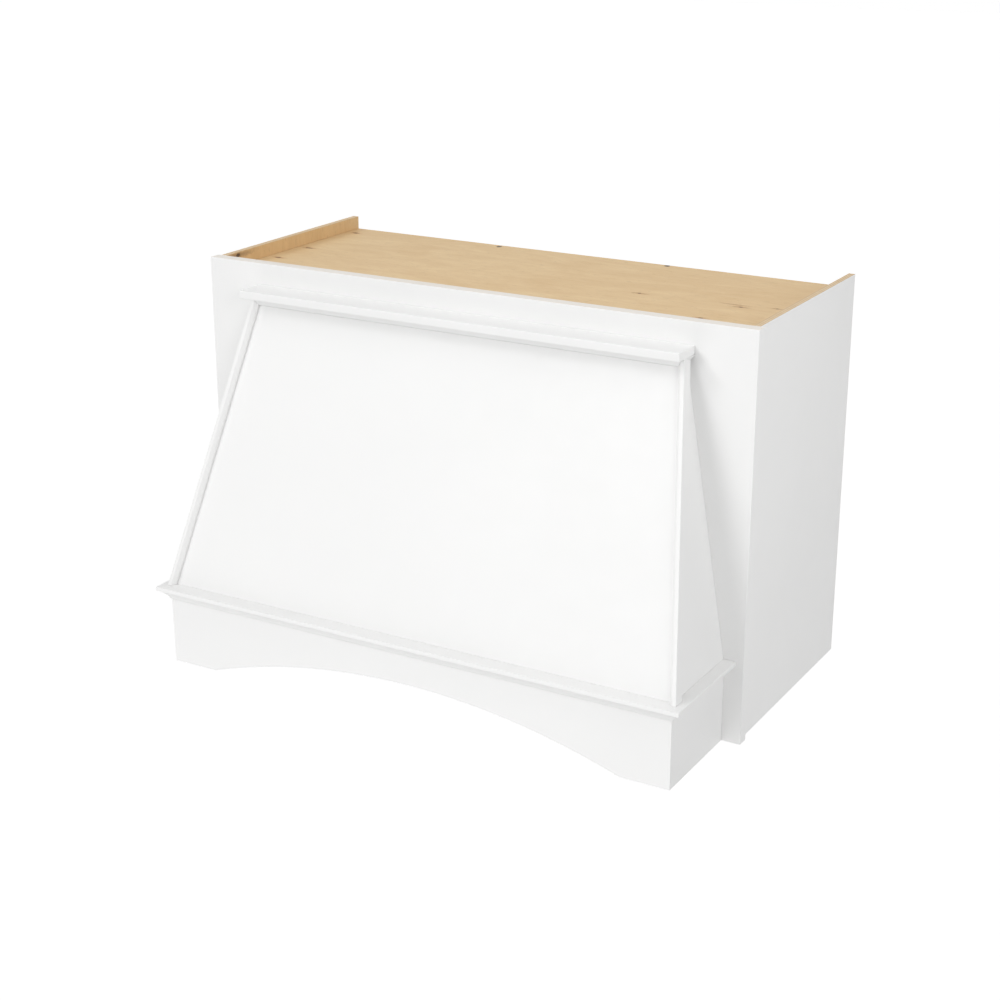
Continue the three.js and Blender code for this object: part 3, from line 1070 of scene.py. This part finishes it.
def split_faces(mesh, x):
    """Cuts the mesh's faces along the plane at x, so that each part can have its own finish."""
    everything = [*mesh.verts, *mesh.edges, *mesh.faces]
    bmesh.ops.bisect_plane(
        mesh, geom=everything, dist=MERGE_DISTANCE, plane_co=(x, 0, 0), plane_no=(1, 0, 0)
    )
    mesh.normal_update()


def ease_edges(mesh, radius, left_sharp=None):
    """Rounds every outside edge, except those that lie on a joint, where left_sharp is true."""
    chosen = []
    for edge in mesh.edges:
        if len(edge.link_faces) != 2 or edge.calc_face_angle() < EASED_ANGLE or not edge.is_convex:
            continue
        first, last = (vertex.co for vertex in edge.verts)
        if left_sharp and all(map(left_sharp, (first, (first + last) / 2, last))):
            continue
        chosen.append(edge)
    bmesh.ops.bevel(
        mesh,
        geom=chosen,
        offset=radius,
        offset_type="OFFSET",
        affect="EDGES",
        segments=2,
        profile=0.5,
        material=-1,
        clamp_overlap=True,
    )


def thicken_film(mesh, film):
    """Moves every face out by the paint's thickness."""
    mesh.normal_update()
    moves = [(vertex, vertex.normal * film * vertex.calc_shell_factor()) for vertex in mesh.verts]
    for vertex, move in moves:
        vertex.co += move


def finished(node, mesh, materials):
    """The piece that takes the node's place: its curves shade smooth and its flats crisp."""
    mesh.normal_update()
    for face in mesh.faces:
        face.smooth = True
    for edge in mesh.edges:
        if len(edge.link_faces) == 2 and edge.calc_face_angle() > CRISP_ANGLE:
            edge.smooth = False
    name = f"{node}_finished"
    data = bpy.data.meshes.new(name)
    mesh.to_mesh(data)
    mesh.free()
    for material in materials:
        data.materials.append(material)
    piece = bpy.data.objects.new(name, data)
    bpy.context.scene.collection.objects.link(piece)
    weights = piece.modifiers.new("Flat faces stay flat", "WEIGHTED_NORMAL")
    weights.keep_sharp = True
    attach(piece, "root")
    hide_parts(node)


def board(node, main, radius, others=(), left_sharp=None, split_x=None, film=0.0):
    """A finished copy of a CAD board; others holds a material and a test for its faces in each row."""
    mesh = merged_copy(node)
    if split_x is not None:
        split_faces(mesh, split_x)
    for face in mesh.faces:
        centre = face.calc_center_median()
        for index, (_, test) in enumerate(others, start=1):
            if test(face.normal, centre):
                face.material_index = index
                break
    ease_edges(mesh, radius, left_sharp)
    thicken_film(mesh, film)
    finished(node, mesh, [main, *(material for material, _ in others)])


def painted_board(node, grain, radius, others=(), left_sharp=None, split_x=None):
    """A board with paint on every face, except those in others."""
    film = bpy.context.scene.hood_paint.film
    board(node, painted(grain), radius, others, left_sharp, split_x, film)


def sawn_board(node, grain, radius):
    """A board of bare sawn wood."""
    board(node, softwood(grain), radius)


def facing(x=0.0, y=0.0, z=0.0):
    """A test for faces that look in one direction."""
    direction = Vector((x, y, z)).normalized()
    return lambda normal, centre: normal.dot(direction) > SAME_WAY


def upright(normal, centre):
    """Whether a face stands upright."""
    return abs(normal.z) < 1 - SAME_WAY


def mitre_test():
    """A test for points on the mitres of the valance and of the moulding round it."""
    corner_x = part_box("valance_right_side")[1].x
    corner_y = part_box("valance_front")[0].y

    def on_mitre(point):
        along_front = corner_x - abs(point.x)
        behind_front = point.y - corner_y
        return abs(along_front - behind_front) < MITRE_REACH

    return on_mitre


class HOOD_OT_cabinet(bpy.types.Operator):
    """Finish the cabinet box: painted sides with raw inner faces and edges, and the veneered top"""

    bl_idname = "hood.cabinet"
    bl_label = "Cabinet box"

    def execute(self, context):
        edges = context.scene.hood_edges
        inner_faces = {"left": bare_ply("z", INSIDE_MARK_AND_SHADE), "right": bare_ply("z")}
        for name, side in SIDES.items():
            painted_board(
                f"{name}_side_panel",
                "z",
                edges.panel,
                [
                    (inner_faces[name], facing(x=-side)),
                    (ply_edge("x"), facing(z=1)),
                    (ply_edge("x"), facing(y=1)),
                ],
            )
        board(
            "top_panel",
            top_veneer(),
            edges.veneer,
            [(bare_ply("x"), facing(z=-1)), (ply_edge("z"), upright)],
        )
        return {"FINISHED"}


class HOOD_OT_face_frame(bpy.types.Operator):
    """Finish the face frame: painted fronts and edges, a thinly coated upper edge, a bare back"""

    bl_idname = "hood.face_frame"
    bl_label = "Face frame"

    def execute(self, context):
        edges = context.scene.hood_edges
        rail_low, rail_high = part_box("frame_top_rail")
        box_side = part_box("right_side_panel")[1].x

        def on_joint(point):
            """Where an end of the rail meets a stile."""
            return abs(abs(point.x) - rail_high.x) < BUTT_REACH and point.z > rail_low.z - BUTT_REACH

        def against_box(normal, centre):
            """The back of a stile, as far out as the cabinet's side."""
            return normal.y > SAME_WAY and abs(centre.x) < box_side

        for name, side in SIDES.items():
            painted_board(
                f"frame_{name}_stile",
                "z",
                edges.strip,
                [(thin_coat("x"), facing(z=1)), (softwood("z"), against_box)],
                left_sharp=on_joint,
                split_x=side * box_side,
            )
        painted_board(
            "frame_top_rail",
            "x",
            edges.strip,
            [(thin_coat("x"), facing(z=1)), (softwood("x"), facing(y=1))],
            left_sharp=on_joint,
        )
        return {"FINISHED"}


class HOOD_OT_canopy(bpy.types.Operator):
    """Finish the canopy: sloping panel, flared sides, chamfered trim and the flat cap"""

    bl_idname = "hood.canopy"
    bl_label = "Canopy"

    def execute(self, context):
        edges = context.scene.hood_edges
        painted_board("canopy_front_panel", "z", edges.panel, [(bare_ply("z"), facing(y=1))])
        for name, side in SIDES.items():
            painted_board(f"canopy_{name}_side", "z", edges.flare, [(bare_ply("z"), facing(x=-side))])
            painted_board(f"canopy_{name}_trim", "z", edges.strip)
        painted_board("canopy_top_trim", "x", edges.strip)
        painted_board("top_cap", "x", edges.cap)
        return {"FINISHED"}


class HOOD_OT_valance(bpy.types.Operator):
    """Finish the valance: the arched front and its two sides, bare inside"""

    bl_idname = "hood.valance"
    bl_label = "Valance"

    def execute(self, context):
        radius = context.scene.hood_edges.valance
        on_mitre = mitre_test()
        painted_board("valance_front", "x", radius, [(softwood("x"), facing(y=1))], on_mitre)
        for name, side in SIDES.items():
            inner_face = (softwood("y"), facing(x=-side))
            painted_board(f"valance_{name}_side", "y", radius, [inner_face], on_mitre)
        return {"FINISHED"}


class HOOD_OT_mouldings(bpy.types.Operator):
    """Finish the mitred cove moulding round the valance"""

    bl_idname = "hood.mouldings"
    bl_label = "Cove moulding"

    def execute(self, context):
        radius = context.scene.hood_edges.moulding
        on_mitre = mitre_test()
        painted_board("front_moulding", "x", radius, left_sharp=on_mitre)
        for name in SIDES:
            painted_board(f"{name}_return_moulding", "y", radius, left_sharp=on_mitre)
        return {"FINISHED"}


class HOOD_OT_supports(bpy.types.Operator):
    """Finish the raw wood inside: hanging rails, fixing strips, glue blocks and insert ledgers"""

    bl_idname = "hood.supports"
    bl_label = "Rails, strips and blocks"

    def execute(self, context):
        edges = context.scene.hood_edges
        for name in ("upper_hanging_rail", "lower_hanging_rail"):
            sawn_board(name, "x", edges.hanging_rail)
        for name in SIDES:
            for node in (f"canopy_{name}_cleat", f"valance_{name}_cleat", f"valance_{name}_block"):
                sawn_board(node, "z", edges.block)
            sawn_board(f"{name}_insert_ledger", "y", edges.block)
        return {"FINISHED"}


def screw_mesh(settings, head, length):
    """A countersunk screw that points down from z = 0, with a tapered cross recess in its head."""
    mesh = bmesh.new()
    bmesh.ops.create_circle(mesh, segments=SCREW_SEGMENTS, radius=head - SCREW_RIM)
    rim = list(mesh.edges)

    # The cross is a grid of three by three squares without its corners, pushed in and narrowed
    bmesh.ops.create_grid(mesh, x_segments=3, y_segments=3, size=settings.recess_width / 2)
    arm = settings.recess_width / 6
    corners = [face for face in mesh.faces if min(map(abs, face.calc_center_median().xy)) > arm]
    bmesh.ops.delete(mesh, geom=corners, context="FACES")
    cross = list(mesh.faces)
    outline = [edge for edge in mesh.edges if len(edge.link_faces) == 1]
    bmesh.ops.bridge_loops(mesh, edges=rim + outline)
    pushed = bmesh.ops.extrude_face_region(mesh, geom=cross)["geom"]
    bmesh.ops.delete(mesh, geom=[face for face in cross if face.is_valid], context="FACES")
    floor = [part for part in pushed if isinstance(part, bmesh.types.BMVert)]
    bmesh.ops.translate(mesh, verts=floor, vec=(0, 0, -settings.recess_depth))
    bmesh.ops.scale(mesh, verts=floor, vec=(RECESS_TAPER, RECESS_TAPER, 1))

    # Each ring below the rim has a radius and a depth, and the last one closes in a point
    shank = settings.shank
    rings = (
        (head, SCREW_RIM),
        (shank, head - shank + SCREW_RIM),
        (shank, length - SCREW_TIP),
        (shank / 2, length - SCREW_TIP / 3),
    )
    ring = rim
    for radius, depth in rings:
        made = bmesh.ops.extrude_edge_only(mesh, edges=ring)["geom"]
        lowest = [part for part in made if isinstance(part, bmesh.types.BMVert)]
        for vertex in lowest:
            vertex.co = (*(vertex.co.xy.normalized() * radius), -depth)
        ring = [part for part in made if isinstance(part, bmesh.types.BMEdge)]
    bmesh.ops.pointmerge(mesh, verts=lowest, merge_co=(0, 0, -length))
    bmesh.ops.recalc_face_normals(mesh, faces=mesh.faces)
    return mesh


class HOOD_OT_screws(bpy.types.Operator):
    """Model the ledger screws with a countersunk head and a cross recess"""

    bl_idname = "hood.screws"
    bl_label = "Ledger screws"

    def execute(self, context):
        settings = context.scene.hood_fittings
        for name, side in SIDES.items():
            nodes = [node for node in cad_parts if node.startswith(f"{name}_ledger_screw_")]
            if not nodes:
                raise RuntimeError(f"{self.bl_label}: the frame has no {name} screws")
            for node in nodes:
                low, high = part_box(node)
                middle = (low + high) / 2
                head_face = Vector((high.x if side < 0 else low.x, middle.y, middle.z))
                mesh = screw_mesh(settings, (high.z - low.z) / 2, high.x - low.x)
                turn = Matrix.Rotation(-side * math.pi / 2, 4, "Y")
                bmesh.ops.transform(mesh, matrix=Matrix.Translation(head_face) @ turn, verts=mesh.verts)
                finished(node, mesh, [zinc_plate()])
        return {"FINISHED"}


# Stage


def stage_floor(settings):
    """A wide plain floor, white to the camera where no shadow falls."""
    mesh = bmesh.new()
    level = Matrix.Translation((0, 0, CAD_BOX[0][2] - settings.floor_drop))
    bmesh.ops.create_grid(mesh, x_segments=4, y_segments=4, size=FLOOR_HALF, matrix=level)
    data = bpy.data.meshes.new("floor")
    mesh.to_mesh(data)
    mesh.free()
    floor = bpy.data.objects.new("floor", data)
    bpy.context.scene.collection.objects.link(floor)
    material, tree, surface, coordinates = empty_material("plain_pale_floor")
    tone = mapped(tree, noise(tree, coordinates, 1.5, detail=2.0), 0.3, 0.7, 0.995, 1.0)
    tree.links.new(shaded(tree, settings.floor_colour, tone), surface["Base Color"])
    surface["Roughness"].default_value = 0.9
    surface["Emission Color"].default_value = (1, 1, 1, 1)
    path = place(tree, "ShaderNodeLightPath").outputs
    seen = maths(tree, "MAXIMUM", path["Is Camera Ray"], path["Is Glossy Ray"])
    tree.links.new(maths(tree, "MULTIPLY", seen, settings.floor_glow), surface["Emission Strength"])
    data.materials.append(material)


def stage_world(settings):
    """Even light from all round, plain white where the camera or a reflection sees it."""
    world = bpy.data.worlds.new("studio")
    world.use_nodes = True
    tree = world.node_tree
    tree.nodes.clear()
    path = place(tree, "ShaderNodeLightPath").outputs
    seen = maths(tree, "MAXIMUM", path["Is Camera Ray"], path["Is Glossy Ray"])
    seen = maths(tree, "MAXIMUM", seen, path["Is Transmission Ray"])
    strength = mapped(tree, seen, 0.0, 1.0, settings.dome, 1.0)
    light = place(tree, "ShaderNodeBackground", {"Color": (1, 1, 1, 1), "Strength": strength})
    output = place(tree, "ShaderNodeOutputWorld")
    tree.links.new(light.outputs[0], output.inputs["Surface"])
    bpy.context.scene.world = world


def stage_lamp(name, direction, strength, spread):
    """A far lamp that shines from one direction."""
    lamp = bpy.data.lights.new(name, "SUN")
    lamp.energy = strength
    lamp.angle = spread
    holder = bpy.data.objects.new(name, lamp)
    holder.rotation_mode = "QUATERNION"
    holder.rotation_quaternion = Vector(direction).normalized().to_track_quat("Z", "Y")
    bpy.context.scene.collection.objects.link(holder)


def stage_softbox(name, position, size, power):
    """A square lamp that faces the cover."""
    lamp = bpy.data.lights.new(name, "AREA")
    lamp.shape = "SQUARE"
    lamp.size = size
    lamp.energy = power
    holder = bpy.data.objects.new(name, lamp)
    middle = (CAD_BOX[0] + CAD_BOX[1]) / 2
    holder.location = position
    holder.visible_camera = False
    holder.rotation_mode = "QUATERNION"
    holder.rotation_quaternion = (Vector(position) - middle).to_track_quat("Z", "Y")
    bpy.context.scene.collection.objects.link(holder)


def stage_camera(settings):
    """The camera, which looks at its aim from a distance, to the right and above."""
    data = bpy.data.cameras.new("camera")
    data.sensor_width = SENSOR_WIDTH
    data.lens = settings.lens
    data.clip_end = CLIP_END
    camera = bpy.data.objects.new("camera", data)
    level = math.cos(settings.elevation)
    back = Vector(
        (
            math.sin(settings.azimuth) * level,
            -math.cos(settings.azimuth) * level,
            math.sin(settings.elevation),
        )
    )
    camera.location = Vector(settings.aim) + back * settings.distance
    camera.rotation_mode = "QUATERNION"
    camera.rotation_quaternion = back.to_track_quat("Z", "Y")
    bpy.context.scene.collection.objects.link(camera)
    bpy.context.scene.camera = camera


class HOOD_OT_stage(bpy.types.Operator):
    """Set up the plain floor, the soft light and the camera"""

    bl_idname = "hood.stage"
    bl_label = "Stage"

    def execute(self, context):
        settings = context.scene.hood_stage
        stage_camera(settings)
        stage_floor(settings)
        stage_world(settings)
        stage_lamp("key", settings.key_from, settings.key, settings.spread)
        stage_lamp("front", settings.front_from, settings.front, settings.spread)
        stage_lamp("fill", settings.fill_from, settings.fill, settings.spread)
        stage_softbox("softbox", settings.softbox_at, settings.softbox_size, settings.softbox)
        stage_softbox("low softbox", settings.low_box_at, settings.low_box_size, settings.low_box)
        stage_softbox("high softbox", settings.high_box_at, settings.high_box_size, settings.high_box)
        context.scene.view_settings.view_transform = "Standard"
        return {"FINISHED"}


OPERATORS = (
    HOOD_OT_stage,
    HOOD_OT_cabinet,
    HOOD_OT_face_frame,
    HOOD_OT_canopy,
    HOOD_OT_valance,
    HOOD_OT_mouldings,
    HOOD_OT_supports,
    HOOD_OT_screws,
)


class HOOD_PT_panel(bpy.types.Panel):
    """Sizes, colours and steps of the hood cover"""

    bl_idname = "HOOD_PT_panel"
    bl_label = "Wooden hood cover"
    bl_space_type = "VIEW_3D"
    bl_region_type = "UI"
    bl_category = "Hood cover"

    def draw(self, context):
        layout = self.layout
        for name, group_class in SETTINGS.items():
            box = layout.box()
            box.label(text=group_class.__doc__)
            for prop in group_class.__annotations__:
                box.prop(getattr(context.scene, name), prop)
        for operator in OPERATORS:
            layout.operator(operator.bl_idname)


CLASSES = (*SETTINGS.values(), *OPERATORS, HOOD_PT_panel)


def register():
    for cls in CLASSES:
        bpy.utils.register_class(cls)
    for name, group_class in SETTINGS.items():
        setattr(bpy.types.Scene, name, PointerProperty(type=group_class))


def unregister():
    for name in SETTINGS:
        delattr(bpy.types.Scene, name)
    for cls in reversed(CLASSES):
        bpy.utils.unregister_class(cls)


def main():
    """Registers the add-on and runs its steps in order."""
    register()
    for operator in OPERATORS:
        step = getattr(bpy.ops.hood, operator.bl_idname.split(".")[1])
        if step() != {"FINISHED"}:
            raise RuntimeError(f"{operator.bl_label} did not finish")
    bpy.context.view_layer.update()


if __name__ == "__main__":
    main()
